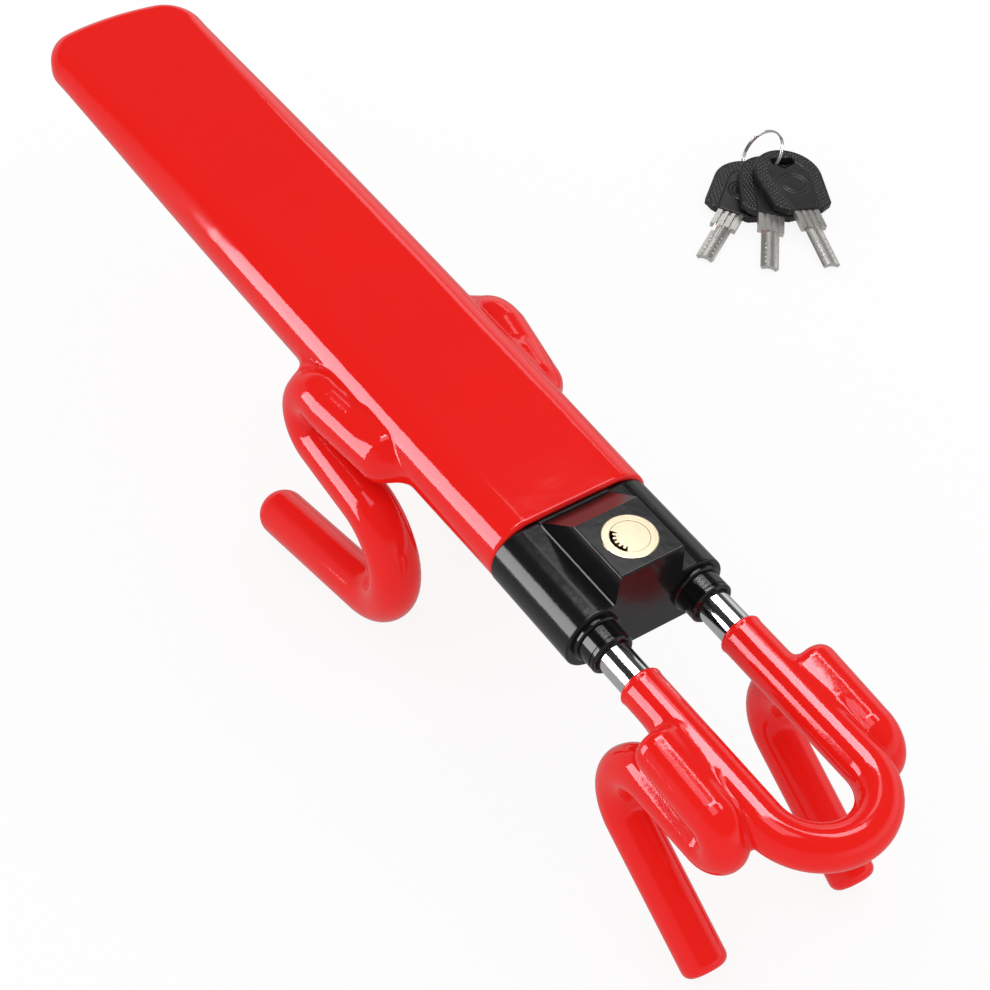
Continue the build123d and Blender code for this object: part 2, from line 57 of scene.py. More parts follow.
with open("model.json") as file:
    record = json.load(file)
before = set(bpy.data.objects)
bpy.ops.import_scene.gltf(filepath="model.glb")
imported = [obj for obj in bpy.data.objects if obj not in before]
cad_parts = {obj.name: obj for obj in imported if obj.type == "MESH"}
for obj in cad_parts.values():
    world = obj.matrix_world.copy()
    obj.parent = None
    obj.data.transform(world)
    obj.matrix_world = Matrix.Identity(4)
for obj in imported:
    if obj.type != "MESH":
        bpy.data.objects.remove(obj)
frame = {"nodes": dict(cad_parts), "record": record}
CAD_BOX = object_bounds()
FLOOR = CAD_BOX[0][2]

SEAT_PITCH = math.radians(4.57)
KEY_FACE = 23.9

# The tube: where its skin begins and ends, the shape of its flattened end, and its half widths and half
# heights as (x, size) knots.  The skin stands COAT outside the steel and reaches COAT_DEPTH into it.
COAT = 1.5
COAT_DEPTH = 0.9
MOUTH = -29.5
MOUTH_EDGE = 1.1
END = -350.5
END_HALF = 31.7
END_CORNER = 13.5
END_BULGE = 5.5
END_EDGE = 5.0
END_EDGE_SPAN = (2, 26)
END_THICK = 11
WIDTHS = ((-212.0, 31.7), (-95.0, 31.15), (0.0, 29.9))
HEIGHTS = ((-361.0, 5.2), (-310.0, 6.93), (-262.0, 10.17), (-212.0, 12.1), (0.0, 12.1))

# The U-shaped bar and its skin, with the lip that swells a little way in from the skin's edge.
BAR_Y = 20.0
BEND_X = 96.4
BAR_SEAT = 6.05
BAR_COAT = 7.52
COAT_START = 35.4
COAT_EDGE = 1.0
LIP_SWELL = 0.22
LIP_PLACE = 1.1
LIP_WIDTH = 0.9

# The hooks' upright planes, the radii of their rods bare and dipped, and the weld beads beside them.
BODY_HOOK_Y = 36.5
BODY_HOOK_STEEL = 7.3
BODY_HOOK_COAT = 9.3
BODY_BEAD_SPAN = (-104, -93)
BODY_BEAD_PLACE = (31.8, 1.6)
BAR_HOOK_Y = 30.9
BAR_HOOK_STEEL = 5.9
BAR_HOOK_COAT = 8.0
BAR_BEAD_SPAN = (61, 76)
BAR_BEAD_PLACE = (25.6, 1.7)
BAR_BEAD_COAT_PLACE = (25.6, 2.0)

# The keys' bows, from the ring hole: outline, hole, pitted grip band, engraved rings and blade slot.
BOW_HALF = 1.9
BOW_DOME = 15.8
DOME_Y = -7.4
BOW_CORNERS = ((15.8, -8.9), (13.59, -27.9), (8.59, -31.3), (0.0, -31.3))
HOLE_CORNERS = ((5.6, 2.8), (5.6, -0.8), (0.0, -4.6))
GRIP_BAND = 6.95
PIT_PITCH = 1.75
PIT_DEPTH = 0.34
ROW_SLANT = (0.87, 0.5)
ENGRAVED_Y = -14.6
ENGRAVED_RINGS = (6.65, 4.95)
LINE_WIDTH = 0.3
LINE_DEPTH = 0.26
SLOT_HALF = (4.55, 7.5, 0.95)
SLOT_Y = -24.7

# The split ring's and its wire's radii, and in radians, how far each end stops short and how fast it thins.
RING_RADIUS = 11.7
RING_WIRE = 0.46
RING_GAP = 0.34
RING_END = 0.036

# Where painted shade darkens the cylinder's face, in metres from the plug's axis: the gap round the plug,
# and beyond the rim.
PLUG_SEAM = (0.00648, 0.00676)
CYLINDER_RIM = 0.00931
SEAM_SOFT = 0.0001

# The stage, in metres and degrees.
CAMERA_PLACE = (0.40062, -0.33643, 0.50783)
CAMERA_TURN = (46.721, -0.696, 55.333)
FLOOR_REACH = 6.0

# The softboxes: each one's name, its spans in x, y and z, and its radiance against the key light's.
SOFTBOXES = (
    ("Left strip", ((-1.0, -0.3), (-0.9, -0.9), (-0.1, 0.6)), 1.0),
    ("Overhead rear", ((-0.84, -0.52), (0.45, 0.866), (1.4, 1.4)), 0.3),
    ("Overhead front", ((-0.57, -0.28), (-0.3, 0.6), (1.4, 1.4)), 1.5),
    ("Overhead right", ((-0.28, 0.2), (0.5, 0.82), (1.4, 1.4)), 0.85),
    ("Far wall", ((-2.3, -1.3), (1.4, 2.2), (1.4, 1.4)), 0.19),
    ("Fill", ((-0.44, 0.3), (-0.8, 0.05), (1.8, 1.8)), 0.3),
)

# How the keys and their ring came to rest: the ring hole's place above the floor in millimetres, and the
# turns about X, Y and Z in degrees.
KEY_REST = {
    "1": ((-238.3, 257.6, 3.4), (0.6, 4.9, 31.9)),
    "2": ((-232.2, 263.0, 7.7), (4.4, 9.7, 50.7)),
    "3": ((-229.9, 266.6, 11.1), (7.6, 7.5, 71.6)),
}
RING_REST = ((-242.7, 265.8, 9.6), (174.5, 48.9, -114.2))

# The finishes by material slot, once they are made.
FINISHES = {}


# ---- shapes as distances --------------------------------------------------------------------------
def rounded_and(a, b, radius):
    """Where both distances hold, with the edge between them turned to a quarter circle of that radius."""
    past = np.hypot(np.maximum(a + radius, 0), np.maximum(b + radius, 0))
    return np.minimum(np.maximum(a, b), -radius) + past


def melted(a, b, reach):
    """The nearer of two distances, less a square-law fillet where they differ by under `reach`."""
    return np.minimum(a, b) - np.maximum(reach - np.abs(a - b), 0) ** 2 / (4 * reach)


def eased(knots):
    """A smooth curve through (station, size) knots.

    Each span is the Hermite cubic; a knot's slope is the harmonic mean of its spans' slopes, and both ends
    are level.
    """
    at, size = np.array(knots, float).T
    rise = np.diff(size) / np.diff(at)
    both = rise[:-1] * rise[1:]
    slope = np.zeros(len(at))
    slope[1:-1] = np.where(both > 0, 2 * both / np.where(both > 0, rise[:-1] + rise[1:], 1), 0)

    def curve(x):
        x = np.clip(x, at[0], at[-1])
        i = np.clip(np.searchsorted(at, x) - 1, 0, len(at) - 2)
        span = at[i + 1] - at[i]
        t = (x - at[i]) / span
        return (size[i] * (1 + 2 * t) * (1 - t) ** 2 + size[i + 1] * t * t * (3 - 2 * t)
                + span * (slope[i] * t * (1 - t) ** 2 - slope[i + 1] * t * t * (1 - t)))
    return curve


half_width = eased(WIDTHS)
half_height = eased(HEIGHTS)


def tube(x, y, z, grow):
    """A flat oval whose half width and half height follow x; its plan closes in a shallow arc with corners.

    Over the last stretch the oval's round sides tighten to the edge radius of the flattened end.
    """
    wide, tall = half_width(x) + grow, half_height(x) + grow
    half = END_HALF + grow
    arc = (half ** 2 + END_BULGE ** 2) / (2 * END_BULGE)
    start = END + COAT - grow
    tip = np.hypot(np.minimum(x - start - arc, 0), y) - arc
    plan = rounded_and(np.abs(y) - wide, tip, END_CORNER)
    near, far = END_EDGE_SPAN
    near_end = np.clip((start + far - x) / (far - near), 0, 1)
    edge = tall - (tall - np.minimum(tall, END_EDGE)) * near_end ** 2 * (3 - 2 * near_end)
    return rounded_and(plan, np.abs(z) - tall, edge)


def bent_rod(start, leg, turn_1, leg_2, turn_2, tip):
    """The runs and arcs of a hook's centre line in its upright plane.

    It starts level, the first turn bends down and back, the second out again; a turn is (radius, degrees).
    A run is (start point, end point) and an arc is (centre, radius, middle direction, half its angle).
    """
    runs, arcs = [], []
    at, heading = np.array(start, float), 0.0
    for length, turn, sense in ((leg, turn_1, -1), (leg_2, turn_2, 1), (tip, None, 0)):
        ahead = np.array([math.cos(heading), math.sin(heading)])
        runs.append((at, at + length * ahead))
        at = at + length * ahead
        if turn:
            radius, angle = turn[0], math.radians(turn[1])
            centre = at + sense * radius * np.array([-ahead[1], ahead[0]])
            spoke = math.atan2(*(at - centre)[::-1])
            arcs.append((centre, radius, spoke + sense * angle / 2, angle / 2))
            heading += sense * angle
            spoke += sense * angle
            at = centre + radius * np.array([math.cos(spoke), math.sin(spoke)])
    return runs, arcs


def from_run(p, q, run):
    """Distance in the plane to a straight run."""
    (ax, az), (bx, bz) = run
    dx, dz = bx - ax, bz - az
    t = np.clip(((p - ax) * dx + (q - az) * dz) / (dx * dx + dz * dz), 0, 1)
    return np.hypot(p - ax - t * dx, q - az - t * dz)


def from_arc(p, q, arc):
    """Distance in the plane to an arc, within its angle; points outside it are left to the runs beside."""
    (cx, cz), radius, middle, half = arc
    turn = np.arctan2(q - cz, p - cx) - middle
    turn = np.abs((turn + math.pi) % (2 * math.pi) - math.pi)
    return np.where(turn <= half, np.abs(np.hypot(p - cx, q - cz) - radius), 1e3)


def hook(p, off, q, rod, thick, cover, start_edge, tip_edge, web):
    """A round rod along a bent line in an upright plane, `off` from it, with both of its ends rounded over.

    Each end stands `cover` past the end of the line; the first two legs are webbed together where they run
    side by side.
    """
    runs, arcs = rod

    def ended(end, joint, edge):
        ahead = (end - joint) / np.hypot(*(end - joint))
        side = np.hypot(from_run(p, q, (joint, end + 30 * ahead)), off) - thick
        past = (p - end[0]) * ahead[0] + (q - end[1]) * ahead[1] - cover
        return rounded_and(side, past, edge)

    bends = np.minimum(from_arc(p, q, arcs[0]), from_arc(p, q, arcs[1]))
    second = np.hypot(from_run(p, q, runs[1]), off) - thick
    upper = melted(ended(*runs[0], start_edge), second, web)
    return np.minimum(upper, np.hypot(bends, off) - thick), ended(*runs[2][::-1], tip_edge)


def pill(x, y, z, span, middle, radius):
    """A round bar along x with half-round ends."""
    past = np.maximum(np.abs(x - sum(span) / 2) - (span[1] - span[0]) / 2, 0)
    return np.sqrt(past ** 2 + (y - middle[0]) ** 2 + (z - middle[1]) ** 2) - radius


BODY_ROD = bent_rod(start=(86.5, -1.5), leg=37.1, turn_1=(11.0, 173), leg_2=28.0, turn_2=(23.0, 159),
                    tip=66.5)
BAR_ROD = bent_rod(start=(57.0, 0.3), leg=29.5, turn_1=(7.0, 178), leg_2=26.5, turn_2=(15.5, 147),
                   tip=52)


def body_hooks(x, y, z, thick, cover, start_edge, tip_edge, web=0.1):
    """The body's hooks; each weld leg closes in on the tube and sinks a little towards its free end.

    `lean` is 1 where the leg has closed in by 5 mm and sunk by 2.8 mm, and 0 on the legs below it.
    """
    lean = np.clip((x + 120) / 34, 0, 1.2) * np.interp(z, (-17, -11), (0, 1))
    return hook(-x, np.abs(y) - BODY_HOOK_Y + 5.0 * lean, z + 0.7 + 2.8 * lean, BODY_ROD, thick, cover,
                start_edge, tip_edge, web)


def bar_hooks(x, y, z, thick, cover, start_edge, tip_edge, web=0.1):
    """The bar's hooks; each weld leg rises a little towards its free end."""
    sunk = (0.9 - 2.0 * np.clip((86 - x) / 29, 0, 1.1)) * np.interp(z, (-16, -8), (0, 1))
    return hook(x, np.abs(y) - BAR_HOOK_Y, z + sunk, BAR_ROD, thick, cover, start_edge, tip_edge, web)


def body_rods(x, y, z):
    """The bare steel of the body's hooks, coped to seat on the tube."""
    rods = body_hooks(x, y, z, BODY_HOOK_STEEL, cover=-1.2, start_edge=4.0, tip_edge=1.5)
    return np.maximum(np.minimum(*rods), -tube(x, y, z, 0.05))


def from_bend(x, y):
    """How far out from the middle line of the U, in the plane of the bars."""
    return np.hypot(np.maximum(x - BEND_X, 0), np.abs(y)) - BAR_Y


def bar_rods(x, y, z):
    """The bare steel of the bar's hooks, coped to seat on the bar."""
    bar = np.hypot(from_bend(x, y), z) - BAR_SEAT
    rods = bar_hooks(x, y, z, BAR_HOOK_STEEL, cover=0, start_edge=2.5, tip_edge=1.2)
    return np.maximum(np.minimum(*rods), -bar)


def body_beads(x, y, z):
    """Weld beads in the grooves between the tube and its hooks, rippled along their length."""
    ripple = 0.25 * np.cos(x * 2 * math.pi / 2.6)
    return pill(x, np.abs(y), z, BODY_BEAD_SPAN, BODY_BEAD_PLACE, 3.0 + ripple)


def bar_beads(x, y, z):
    """Weld beads in the grooves between the bar and its hooks, rippled along their length."""
    ripple = 0.2 * np.cos(x * 2 * math.pi / 2.2)
    return pill(x, np.abs(y), z, BAR_BEAD_SPAN, BAR_BEAD_PLACE, 2.4 + ripple)


def dipped_body(x, y, z):
    """The tube's skin, with its hooks and weld beads melted into it, hollowed for the steel tube.

    The fillet to the hooks reaches furthest at the tube's sides and fades over its top and below it.
    """
    skin = rounded_and(tube(x, y, z, COAT), x - MOUTH, MOUTH_EDGE)
    bead = pill(x, np.abs(y), z, BODY_BEAD_SPAN, BODY_BEAD_PLACE, 4.2)
    upper, tip = body_hooks(x, y, z, BODY_HOOK_COAT, cover=1.5, start_edge=7.0, tip_edge=7.5, web=4.0)
    reach = np.interp(z, (-21, -9, 0, 4), (1.0, 9.0, 9.0, 1.6))
    solid = np.minimum(melted(skin, melted(upper, bead, 4.0), reach), tip)
    hollow = np.maximum(tube(x, y, z, -COAT_DEPTH), END + END_THICK - x)
    return np.maximum(solid, -hollow)


def dipped_bar(x, y, z):
    """The skin of the bar's two legs and bend, swollen at its lip, with its hooks melted into it.

    The fillet to the hooks shrinks towards the bend and over the bar's top.
    """
    lip = LIP_SWELL * np.exp(-((x - COAT_START - LIP_PLACE) / LIP_WIDTH) ** 2)
    skin = rounded_and(np.hypot(from_bend(x, y), z) - BAR_COAT - lip, COAT_START - x, COAT_EDGE)
    bead = pill(x, np.abs(y), z, BAR_BEAD_SPAN, BAR_BEAD_COAT_PLACE, 3.5)
    upper, tip = bar_hooks(x, y, z, BAR_HOOK_COAT, cover=1.5, start_edge=4.5, tip_edge=3.2, web=3.0)
    reach = np.interp(x, (72, 95), (7.0, 2.0)) * np.interp(z, (0, 4), (1, 0.45))
    return np.minimum(melted(skin, melted(upper, bead, 4.0), reach), tip)


def from_corners(x, y, corners):
    """The distances out past each side through the corners, each taken with its mirror image."""
    past = []
    for (x0, y0), (x1, y1) in zip(corners, corners[1:]):
        across = (np.abs(x) - x0) * (y0 - y1) + (y - y0) * (x1 - x0)
        past.append(across / math.hypot(x1 - x0, y1 - y0))
    return past


def key_bow(x, y, z):
    """A key's bow, seen from its ring hole with the blade towards -Y.

    Pits in slanting rows sink into the grip band round the dome and sides; a groove parts the band from a
    smooth panel with two engraved rings.  The blade's root fills the slot.
    """
    dome = np.hypot(x, np.maximum(y - DOME_Y, 0)) - BOW_DOME
    side, bevel, bottom = from_corners(x, y, BOW_CORNERS)
    band = -np.maximum(dome, side)
    c, s = ROW_SLANT
    u, v = (c * x + s * y) * 2 * math.pi / PIT_PITCH, (c * y - s * x) * 2 * math.pi / PIT_PITCH
    pits = (0.5 + 0.5 * np.cos(u)) * (0.5 + 0.5 * np.cos(v))
    pits = pits * np.interp(band, (0.9, 1.4, 5.9, 6.3), (0, 1, 1, 0))
    from_centre = np.hypot(x, y - ENGRAVED_Y)
    gaps = [band - GRIP_BAND] + [from_centre - radius for radius in ENGRAVED_RINGS]
    lines = sum(np.exp(-(gap / LINE_WIDTH) ** 2) for gap in gaps)
    face = np.abs(z) - BOW_HALF + PIT_DEPTH * pits + LINE_DEPTH * lines
    solid = rounded_and(np.maximum(np.maximum(dome, side), np.maximum(bevel, bottom)), face, 0.6)
    hole = rounded_and(y - HOLE_CORNERS[0][1], np.maximum(*from_corners(x, y, HOLE_CORNERS)), 0.7)
    wide, long, thick = SLOT_HALF
    slot = np.maximum(np.maximum(np.abs(x) - wide, np.abs(z) - thick), np.abs(y - SLOT_Y) - long)
    return np.maximum(rounded_and(solid, -hole, 0.4), -slot)


def split_ring(sides=14, steps=220):
    """Two turns of round wire that cross over where the ends stop short of each other.

    The wire's section is carried along a circle, stepping from the lower turn to the upper half way, and is
    thinner over the last few steps at both ends.
    """
    turn = np.linspace(RING_GAP, 4 * math.pi - RING_GAP, steps)
    step = np.clip((turn - 2 * math.pi) / RING_GAP, -1, 1)
    height = RING_WIRE * step * (3 - step ** 2) / 2
    from_end = np.minimum(turn - turn[0], turn[-1] - turn) / RING_END
    thin = np.sqrt(np.clip(1 - (1 - from_end) ** 2, 0.15, 1))
    thin[5:-5] = 1
    around = np.arange(sides) * 2 * math.pi / sides
    wire = (RING_WIRE - 0.015) * thin[:, None]
    radius = RING_RADIUS + wire * np.cos(around)
    points = np.stack([radius * np.cos(turn)[:, None], radius * np.sin(turn)[:, None],
                       height[:, None] - wire * np.sin(around)], 2).reshape(-1, 3)
    first = np.arange(steps * sides).reshape(steps, sides)
    ahead = np.roll(first, -1, 1)
    quads = np.stack([first[:-1], ahead[:-1], ahead[1:], first[1:]], 2).reshape(-1, 4)
    return points, quads.tolist() + [first[0][::-1].tolist(), first[-1].tolist()]


def settled(points, rest):
    """Key millimetres to the part's metres: turned about X, then Y, then Z, and moved to where it rests."""
    (x, y, z), turns = rest
    turn = np.array(Euler([math.radians(t) for t in turns]).to_matrix())
    return (points @ turn.T + (x, y, z)) / 1000 + (0, 0, FLOOR), turn


# ---- skins over a distance ------------------------------------------------------------------------
def wrapped(field, xs, ys, zs, rounds=3):
    """A closed quad skin where field(x, y, z) is zero, inside a box of grid lines, with its normals.

    A cell that the surface crosses gets one point, the mean of the crossings on its edges, and a crossed
    edge gets the quad of the four cells round it.  Then the points are eased towards the middle of their
    quads and stepped back to the surface along the gradient, field / |gradient|^2 at a time.
    """
    lines = (xs, ys, zs)
    value = field(xs[:, None, None], ys[None, :, None], zs[None, None, :])
    value = np.broadcast_to(value, (len(xs), len(ys), len(zs)))
    quads, marks = [], []
    for axis in range(3):
        u, v = (axis + 1) % 3, (axis + 2) % 3
        low = np.take(value, range(value.shape[axis] - 1), axis)
        high = np.take(value, range(1, value.shape[axis]), axis)
        at = np.argwhere((low < 0) != (high < 0))
        a, b = low[tuple(at.T)], high[tuple(at.T)]
        mark = np.stack([lines[c][at[:, c]] for c in range(3)], 1)
        mark[:, axis] += a / (a - b) * (lines[axis][at[:, axis] + 1] - lines[axis][at[:, axis]])
        round_it = []
        for du, dv in ((-1, -1), (0, -1), (0, 0), (-1, 0)):
            cell = at.copy()
            cell[:, u] += du
            cell[:, v] += dv
            round_it.append(np.ravel_multi_index(cell.T, value.shape))
        quad = np.stack(round_it, 1)
        quad[b < 0] = quad[b < 0][:, ::-1]
        quads.append(quad)
        marks.append(mark)
    quads, marks = np.concatenate(quads), np.concatenate(marks)
    used, faces = np.unique(quads, return_inverse=True)
    faces = faces.reshape(-1, 4)
    corner = faces.ravel()
    count = np.bincount(corner, minlength=len(used))[:, None]

    def gathered(per_face):
        spread = np.repeat(per_face, 4, 0)
        return np.stack([np.bincount(corner, spread[:, c], len(used)) for c in range(3)], 1) / count

    points = gathered(marks)
    for _ in range(rounds):
        points += 0.6 * (gathered(points[faces].mean(1)) - points)
        for _ in range(2):
            slope, here = gradient(field, points)
            step = here / np.maximum((slope ** 2).sum(1), 0.25)
            points -= slope * np.clip(step, -0.6, 0.6)[:, None]
    slope, _ = gradient(field, points)
    return points, faces.tolist(), slope / np.linalg.norm(slope, axis=1)[:, None]


def gradient(field, points, h=0.02):
    """Central differences of the field at the points, and its value there."""
    slopes = []
    for axis in range(3):
        ahead, behind = points.copy(), points.copy()
        ahead[:, axis] += h
        behind[:, axis] -= h
        slopes.append((field(*ahead.T) - field(*behind.T)) / (2 * h))
    return np.stack(slopes, 1), field(*points.T)


def grid_line(low, high, step, fine=(), fine_step=0.4):
    """Grid stations from low to high, closer together within the `fine` span."""
    stations = [np.arange(low, high + step, step)]
    if fine:
        stations[0] = stations[0][(stations[0] < fine[0]) | (stations[0] > fine[1])]
        stations.append(np.arange(fine[0] + 0.5 * step, fine[1] - 0.5 * step, fine_step))
    return np.sort(np.concatenate(stations))


# ---- into Blender ---------------------------------------------------------------------------------
def leaned(vectors):
    """Turned about Y by the lock's lean."""
    c, s = math.cos(SEAT_PITCH), math.sin(SEAT_PITCH)
    x, y, z = vectors.T
    return np.stack([c * x + s * z, y, c * z - s * x], 1)


def laid(points):
    """Lock millimetres to the part's metres: down by the height of the key face, then leaned."""
    return leaned(points - (0, 0, KEY_FACE)) / 1000


def new_piece(name, points, faces, slot, body, replaced, normals=None):
    """A smooth mesh piece on a CAD body, with its slot's finish, in place of some of the CAD nodes."""
    mesh = bpy.data.meshes.new(name)
    mesh.from_pydata(points.tolist(), [], faces)
    mesh.shade_smooth()
    if normals is not None:
        mesh.normals_split_custom_set_from_vertices(normals.tolist())
    mesh.validate()
    piece = bpy.data.objects.new(name, mesh)
    bpy.context.scene.collection.objects.link(piece)
    mesh.materials.append(FINISHES[slot])
    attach(piece, body)
    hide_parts(*replaced)


# ---- shader maths ---------------------------------------------------------------------------------
class Value:
    """A number in a tree of shader nodes: arithmetic on it adds Math nodes."""

    def __init__(self, shading, socket):
        self.shading, self.socket = shading, socket

    def sibling(self, name):
        """Another output of the node that this one comes from."""
        return Value(self.shading, self.socket.node.outputs[name])

    def _math(self, operation, *terms):
        return self.shading.node("ShaderNodeMath", {"operation": operation}, dict(enumerate(terms)))

    def __add__(self, other):
        return self._math("ADD", self, other)

    def __rsub__(self, other):
        return self._math("SUBTRACT", other, self)

    def __mul__(self, other):
        return self._math("MULTIPLY", self, other)

    def __pow__(self, other):
        return self._math("POWER", self, other)

    def larger(self, other):
        return self._math("MAXIMUM", self, other)

    def ramped(self, start, end, first=0.0, last=1.0):
        """Goes smoothly from `first` to `last` while this goes from `start` to `end`."""
        return self.shading.node("ShaderNodeMapRange", {"interpolation_type": "SMOOTHSTEP"},
                                 {0: self, 1: start, 2: end, 3: first, 4: last})

    def above(self, level, soft):
        """0 below the level, 1 above it, over a soft step."""
        return self.ramped(level - soft, level + soft)

    __radd__ = __add__
    __rmul__ = __mul__


class Shading:
    """A tree of shader nodes."""

    def __init__(self, tree):
        self.tree = tree

    def found(self, kind):
        """The node of that kind that the tree starts out with."""
        return next(n for n in self.tree.nodes if n.type == kind)

    def node(self, kind, settings=None, inputs=None, output=0):
        """A node of that kind: its settings first, then values or links on its sockets."""
        node = self.tree.nodes.new(kind)
        for key, value in (settings or {}).items():
            setattr(node, key, value)
        for key, value in (inputs or {}).items():
            self.put(node.inputs[key], value)
        return Value(self, node.outputs[output])

    def put(self, socket, value):
        """Link a value to a socket, or set it there."""
        if isinstance(value, Value):
            self.tree.links.new(value.socket, socket)
        else:
            socket.default_value = value

    def mix(self, amount, first, second):
        """A number between two, by an amount."""
        return self.node("ShaderNodeMix", None, {0: amount, 2: first, 3: second})


class Finish(Shading):
    """A node material with one Principled shader."""

    def __init__(self, name, **fixed):
        self.material = bpy.data.materials.new(name)
        self.material.use_nodes = True
        super().__init__(self.material.node_tree)
        self.shader = self.found("BSDF_PRINCIPLED")
        for socket, value in fixed.items():
            self.shader.inputs[socket.replace("_", " ")].default_value = value

    def place(self, scale=(1, 1, 1), turn=(0, 0, 0)):
        """Object coordinates, turned and stretched."""
        spot = self.node("ShaderNodeTexCoord", output=3)
        return self.node("ShaderNodeMapping", {"vector_type": "TEXTURE"},
                         {0: spot, 2: turn, 3: [1 / s for s in scale]})

    def noise(self, scale, detail=3.0, rough=0.5, spot=None):
        """Fractal noise about 0.5, with `scale` features to the metre."""
        spot = spot or self.place()
        return self.node("ShaderNodeTexNoise", None,
                         {"Vector": spot, "Scale": scale, "Detail": detail, "Roughness": rough})

    def blend(self, amount, first, second):
        """A colour between two, by an amount."""
        one, two = ((*c, 1.0) if isinstance(c, tuple) else c for c in (first, second))
        return self.node("ShaderNodeMix", {"data_type": "RGBA"}, {0: amount, 6: one, 7: two}, output=2)

    def colour(self, value):
        self.put(self.shader.inputs["Base Color"], value)

    def rough(self, value):
        self.put(self.shader.inputs["Roughness"], value)

    def bump(self, height, distance, strength):
        """Relief from a height in units of `distance`, in metres."""
        relief = self.node("ShaderNodeBump", None,
                           {"Height": height, "Distance": distance, "Strength": strength})
        self.put(self.shader.inputs["Normal"], relief)


def tint(colour, factor):
    """A colour made darker or lighter."""
    return tuple(min(1.0, c * factor) for c in colour)


def vinyl(colour):
    """Dip-coated vinyl: glossy, a little uneven in thickness, with a faint orange peel."""
    f = Finish("dipped vinyl", Specular_Tint=(1.0, 0.88, 1.0, 1.0))
    uneven = f.noise(14, 2)
    f.colour(f.blend(uneven, tint(colour, 0.95), tint(colour, 1.03)))
    f.rough(0.06 + 0.05 * f.noise(60, 4))
    f.bump(f.noise(22, 2.5) + 0.04 * f.noise(420, 2), 0.0011, 0.5)
    return f.material


def cast_black():
    """Die-cast zinc under black enamel."""
    f = Finish("black enamel", Specular_IOR_Level=0.4)
    grain = f.noise(900, 4)
    f.colour(f.blend(f.noise(40, 3), (0.006, 0.006, 0.007), (0.013, 0.013, 0.014)))
    f.rough(0.10 + 0.10 * grain)
    f.bump(f.noise(120, 3) + 0.25 * grain, 0.00015, 0.5)
    return f.material


def moulded_black(name, rough, tone, relief):
    """Moulded plastic with a fine texture."""
    f = Finish(name)
    grain = f.noise(1800, 3)
    f.colour(f.blend(f.noise(70, 3), (tone,) * 3, (tone * 1.7,) * 3))
    f.rough(rough + 0.12 * relief * grain)
    f.bump(grain, 0.00012 * relief, 0.6)
    return f.material


def metal(name, colour, rough, spread=0.08, scale=(1, 1, 1), grain=700, relief=0.00002):
    """Bare or plated metal, with marks drawn out along one direction by the scale."""
    f = Finish(name, Metallic=1.0)
    marks = f.noise(grain, 4, 0.6, f.place(scale))
    cloud = f.noise(60, 3)
    f.colour(f.blend(cloud, tint(colour, 0.9), tint(colour, 1.05)))
    f.rough(rough + spread * marks)
    f.bump(marks, relief, 0.7)
    return f.material


def turned_brass(colour):
    """Brass faced on a lathe: rings round the plug's axis, polished, with painted shade darkening its two
    seam gaps.

    One seam runs round the plug, the other round the rim of the cylinder.
    """
    f = Finish("turned brass", Metallic=1.0)
    spot = f.place(turn=(0, SEAT_PITCH, 0))
    x = f.node("ShaderNodeSeparateXYZ", None, {0: spot})
    y = x.sibling("Y")
    radius = (x * x + y * y) ** 0.5
    rings = f.node("ShaderNodeTexNoise", {"noise_dimensions": "1D"},
                   {"W": radius, "Scale": 3800, "Detail": 2.0})
    # Painted shade: the gap round the plug and the brass past the rim are darkened in the colour, standing
    # for the shadow down in them.
    inner, outer = (radius.above(level, SEAM_SOFT) for level in PLUG_SEAM)
    seam_shade = 0.6 * inner * (1 - outer) + radius.above(CYLINDER_RIM, SEAM_SOFT)
    polished = f.blend(f.noise(150, 3), tint(colour, 0.93), tint(colour, 1.05))
    f.colour(f.blend(seam_shade, polished, tint(colour, 0.25)))
    f.rough(0.13 + 0.12 * rings)
    f.bump(rings, 0.00001, 0.8)
    return f.material


# ---- settings -------------------------------------------------------------------------------------
def colour_prop(name, about, value):
    """A colour that the panel shows."""
    return FloatVectorProperty(name=name, description=about, default=value, subtype="COLOR", size=3,
                               min=0, max=1)


class LockColours(bpy.types.PropertyGroup):
    vinyl: colour_prop("Vinyl", "Colour of the dipped vinyl", (0.89, 0.0135, 0.0095))
    brass: colour_prop("Brass", "Colour of the lock cylinder", (0.92, 0.76, 0.54))
    chrome: colour_prop("Chrome", "Colour of the plated bar", (0.78, 0.79, 0.80))
    nickel: colour_prop("Nickel", "Colour of the key blades", (0.82, 0.80, 0.76))


class LockSizes(bpy.types.PropertyGroup):
    skin_step: FloatProperty(name="Skin step", description="Size of the faces of the vinyl, in millimetres",
                             default=1.35, min=0.8, max=4.0)
    camera_lens: FloatProperty(name="Lens", description="Focal length of the camera in millimetres",
                               default=83.734, min=20, max=300, subtype="DISTANCE_CAMERA")
    key_light: FloatProperty(name="Key light", description="Radiance of the strip light",
                             default=7.5, min=0)


# ---- operators ------------------------------------------------------------------------------------
class LOCK_OT_body_vinyl(bpy.types.Operator):
    """Dip the tube and its two hooks in vinyl"""
    bl_idname = "lock.body_vinyl"
    bl_label = "Body vinyl"

    def execute(self, context):
        step = context.scene.lock_sizes.skin_step
        points, faces, normals = wrapped(
            dipped_body,
            grid_line(END - 3, MOUTH + 3, step, (MOUTH - 5, MOUTH + 3)),
            grid_line(-48, 48, step), grid_line(-98, 17, step))
        new_piece("vinyl_body", laid(points), faces, "red_vinyl", "body",
                  ("body_coating", "body_hook_coating_left", "body_hook_coating_right"), leaned(normals))
        return {"FINISHED"}


